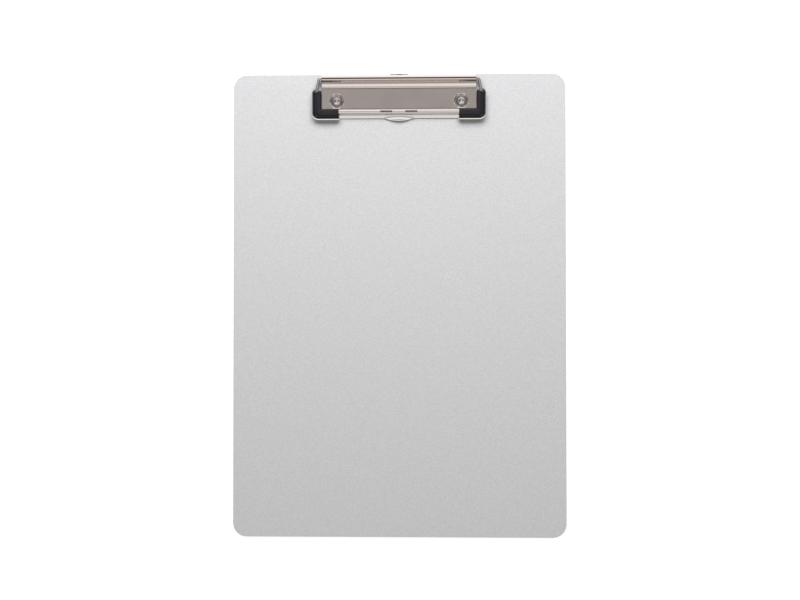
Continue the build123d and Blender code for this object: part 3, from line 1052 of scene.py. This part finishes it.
class CLIPBOARD_OT_corner_grips(bpy.types.Operator):
    """Two soft black corners: a tube round the wire on a lower shelf, with collars at the ends"""

    bl_idname = "clipboard.corner_grips"
    bl_label = "Corner grips"

    def execute(self, context):
        sizes = context.scene.clipboard_grip
        finish = black_finish("Black grip", sizes.tone)
        low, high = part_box("corner_grip_right")
        top = high.z - sizes.collar_growth
        growth = sizes.collar_growth
        high.y += sizes.rear_growth
        shelf_low = low + Y_AXIS * sizes.shelf_inset
        shelf = high - X_AXIS * sizes.shelf_inset
        shelf.z = low.z + sizes.shelf_height
        tube = Vector((high.x - sizes.shelf_width, high.y, top))
        tube_low = Vector((low.x, low.y + sizes.shelf_width, low.z))
        inner = high.x - sizes.width
        back = low.y + sizes.front_width
        for side, name in ((1, "right"), (-1, "left")):
            bm = bmesh.new()
            radius = sizes.corner_radius
            self.add_corner(bm, shelf_low, shelf, inner, back, radius, sizes.shelf_round)
            radius -= sizes.shelf_width / 2
            self.add_corner(bm, tube_low, tube, inner, back, radius, sizes.crown)
            end = Vector((tube.x + growth, high.y + NUDGE * 20, high.z))
            start = Vector((inner - growth / 2, high.y - sizes.collar, low.z))
            self.add_collar(bm, start, end, sizes)
            start = Vector((low.x - NUDGE * 20, tube_low.y - growth, low.z))
            end = Vector((low.x + sizes.collar, back + growth / 2, high.z))
            self.add_collar(bm, start, end, sizes)
            start.x = inner - sizes.seam_setback
            end.x = start.x + sizes.seam
            self.add_collar(bm, start, end, sizes)
            if side < 0:
                swap_sides(bm, everything(bm))
            node = "corner_grip_" + name
            piece = finish_piece(bm, "grip_" + name, "bow", finish, [node])
            soften(piece)
        return {"FINISHED"}

    def add_corner(self, bm, low, high, inner, back, radius, crown):
        """An L-shaped block with a round outer corner and a round crown."""
        known = set(bm.faces)
        block(bm, Vector((inner, low.y, low.z)), high)
        own = [face for face in bm.faces if face not in known]
        edges = list({edge for face in own for edge in face.edges})
        geom = own + edges + list({vert for face in own for vert in face.verts})
        bmesh.ops.bisect_plane(
            bm, geom=geom, dist=NUDGE / 10, plane_co=Y_AXIS * back, plane_no=Y_AXIS
        )
        own = [face for face in bm.faces if face not in known]
        flank = [
            face
            for face in own
            if face.calc_center_median().x < inner + NUDGE and face.calc_center_median().y < back
        ]
        pushed = bmesh.ops.extrude_discrete_faces(bm, faces=flank)["faces"]
        moved = list({vert for face in pushed for vert in face.verts})
        bmesh.ops.translate(bm, verts=moved, vec=X_AXIS * (low.x - inner))
        own = [face for face in bm.faces if face not in known]
        bmesh.ops.recalc_face_normals(bm, faces=own)
        edges = {edge for face in own for edge in face.edges}
        seams = [edge for edge in edges if edge.calc_face_angle(1) < 0.01]
        bmesh.ops.dissolve_edges(bm, edges=seams, use_verts=False)
        corner = [
            edge
            for edge in bm.edges
            if all(v.co.x > high.x - NUDGE and v.co.y < low.y + NUDGE for v in edge.verts)
            and abs(edge.verts[0].co.z - edge.verts[1].co.z) > NUDGE
        ]
        bevel(bm, corner, radius, CORNER_STEPS)
        rim = [edge for edge in bm.edges if all(v.co.z > high.z - NUDGE for v in edge.verts)]
        bevel(bm, rim, crown, CROWN_STEPS)

    def add_collar(self, bm, start, end, sizes):
        """A short band that stands a little proud of the grip."""
        verts = block(bm, start, end)
        edges = {edge for vert in verts for edge in vert.link_edges}
        size = end - start
        along = 0 if size.x < size.y else 1
        tops = [
            edge
            for edge in edges
            if all(vert.co.z > end.z - NUDGE for vert in edge.verts)
            and abs(edge.verts[0].co[along] - edge.verts[1].co[along]) > NUDGE
        ]
        bevel(bm, tops, sizes.crown, CROWN_STEPS)


class CLIPBOARD_OT_hanger(bpy.types.Operator):
    """Pull-out strip with its hanging eye"""

    bl_idname = "clipboard.hanger"
    bl_label = "Hanger"

    def execute(self, context):
        sizes = context.scene.clipboard_hanger
        finish = metal_finish("Hanger nickel", sizes.tone, sizes.roughness, 0.03, 2400.0, 0.06)
        node = FRAME["nodes"]["hanger"]
        node.data.materials.clear()
        node.data.materials.append(finish)
        return {"FINISHED"}


class CLIPBOARD_OT_studio(bpy.types.Operator):
    """Pale floor, soft light and the camera above the board"""

    bl_idname = "clipboard.studio"
    bl_label = "Studio"

    def execute(self, context):
        sizes = context.scene.clipboard_studio
        scene = context.scene
        scene.view_settings.view_transform = "Standard"
        self.floor(sizes)
        self.camera(scene, sizes)
        self.sky(scene)
        self.lamp("Key light", (0.0, 0.65, 0.62), sizes.key_energy, width=1.0, depth=0.5)
        self.lamp("Fill light", (0.0, -1.4, 0.42), sizes.fill_energy, width=1.8, depth=0.35)
        return {"FINISHED"}

    def floor(self, sizes):
        """A pale floor under the board."""
        bm = bmesh.new()
        half = sizes.floor_size / 2
        rectangle(bm, -half, half, -half, half, -FLOOR_DROP)
        material = new_material("Floor")
        looks = {
            "Base Color": (*(sizes.floor_tone,) * 3, 1),
            "Roughness": 0.9,
            "Emission Color": (1, 1, 1, 1),
            "Emission Strength": sizes.floor_glow,
        }
        set_inputs(shader_of(material), looks)
        add_object(bm, "floor", material)

    def camera(self, scene, sizes):
        """The camera over the board, tilted a very little."""
        data = bpy.data.cameras.new("Camera")
        data.lens = sizes.lens
        data.sensor_width = 36.0
        camera = bpy.data.objects.new("Camera", data)
        scene.collection.objects.link(camera)
        camera.rotation_euler = (sizes.tilt_x, sizes.tilt_y, sizes.turn_z)
        aim = Vector((sizes.aim_x, sizes.aim_y, 0))
        camera.location = aim + camera.rotation_euler.to_matrix() @ Z_AXIS * sizes.distance
        scene.camera = camera

    def sky(self, scene):
        """Studio walls: bright cards before and behind, dark ends, a dark gap overhead."""
        world = bpy.data.worlds.new("Studio")
        scene.world = world
        world.use_nodes = True
        nodes = world.node_tree.nodes
        links = world.node_tree.links
        background = nodes["Background"]
        x, y = position(world, "Generated")
        fore_aft = math_node(world, "ABSOLUTE", y)
        aside = math_node(world, "ABSOLUTE", x)
        gap_x = math_node(world, "DIVIDE", x, 0.26)
        gap_y = math_node(world, "DIVIDE", math_node(world, "SUBTRACT", y, 0.17), 0.07)
        gap = diagonal(world, gap_x, gap_y)
        level = ramp(world, fore_aft, 0.05, 0.55, 0.66, 0.74)
        for factor in (
            ramp(world, y, -0.35, 0.35, 0.55, 1.05),  # brighter behind the clip
            ramp(world, aside, 0.38, 0.72, 1.0, 0.28),  # dark ends
            ramp(world, gap, 0.85, 1.15, 0.10, 1.0),  # dark gap overhead
            band(world, y, -0.05, 0.04, 0.06, 1.9),  # thin strip overhead
            band(world, y, -0.53, 0.20, 0.34, 2.4),  # card in front
            ramp(world, y, 0.28, 0.40, 1.0, 1.5),  # card behind
        ):
            level = math_node(world, "MULTIPLY", level, factor)
        seen = nodes.new("ShaderNodeLightPath").outputs["Is Camera Ray"]
        links.new(mix(world, seen, level, 1.0), background.inputs["Strength"])
        cool_end = ramp(world, x, 0.5, 0.8)
        tone = mix(world, cool_end, (1.0, 0.985, 0.965, 1), (0.88, 1.0, 1.3, 1), "RGBA")
        shown = mix(world, seen, tone, (1, 1, 1, 1), "RGBA")
        links.new(shown, background.inputs["Color"])

    def lamp(self, name, place, energy, width, depth):
        """A soft lamp aimed at the clip, which lights the matt faces and isn't mirrored."""
        data = bpy.data.lights.new(name, "AREA")
        data.shape = "RECTANGLE"
        data.size = width
        data.size_y = depth
        data.energy = energy
        lamp = bpy.data.objects.new(name, data)
        lamp.location = place
        lamp.visible_camera = False
        lamp.visible_glossy = False
        clip = Vector((0, 0.1, 0))
        lamp.rotation_euler = (clip - Vector(place)).to_track_quat("-Z", "Y").to_euler()
        bpy.context.scene.collection.objects.link(lamp)


class CLIPBOARD_PT_build(bpy.types.Panel):
    """Lists the clipboard's pieces"""

    bl_idname = "CLIPBOARD_PT_build"
    bl_label = "Clipboard"
    bl_space_type = "VIEW_3D"
    bl_region_type = "UI"
    bl_category = "Clipboard"

    def draw(self, context):
        """One button for each piece, and one for the studio."""
        for operator in OPERATORS:
            self.layout.operator(operator.bl_idname)


GROUPS = {
    "clipboard_board": ClipboardBoard,
    "clipboard_plate": ClipboardPlate,
    "clipboard_bow": ClipboardBow,
    "clipboard_wire": ClipboardWire,
    "clipboard_grip": ClipboardGrip,
    "clipboard_rivet": ClipboardRivet,
    "clipboard_hanger": ClipboardHanger,
    "clipboard_studio": ClipboardStudio,
}
OPERATORS = (
    CLIPBOARD_OT_board,
    CLIPBOARD_OT_base_plate,
    CLIPBOARD_OT_rivets,
    CLIPBOARD_OT_spring_wire,
    CLIPBOARD_OT_clamp_bow,
    CLIPBOARD_OT_corner_grips,
    CLIPBOARD_OT_hanger,
    CLIPBOARD_OT_studio,
)


def register():
    """Add the groups of sizes, the operators and the panel."""
    for name, group in GROUPS.items():
        bpy.utils.register_class(group)
        setattr(bpy.types.Scene, name, PointerProperty(type=group))
    for cls in (*OPERATORS, CLIPBOARD_PT_build):
        bpy.utils.register_class(cls)


def unregister():
    """Take them away again."""
    for cls in (CLIPBOARD_PT_build, *reversed(OPERATORS)):
        bpy.utils.unregister_class(cls)
    for name, group in reversed(GROUPS.items()):
        delattr(bpy.types.Scene, name)
        bpy.utils.unregister_class(group)


def main():
    """Build everything in order."""
    register()
    for operator in OPERATORS:
        getattr(bpy.ops.clipboard, operator.bl_idname.split(".")[1])()


if __name__ == "__main__":
    main()
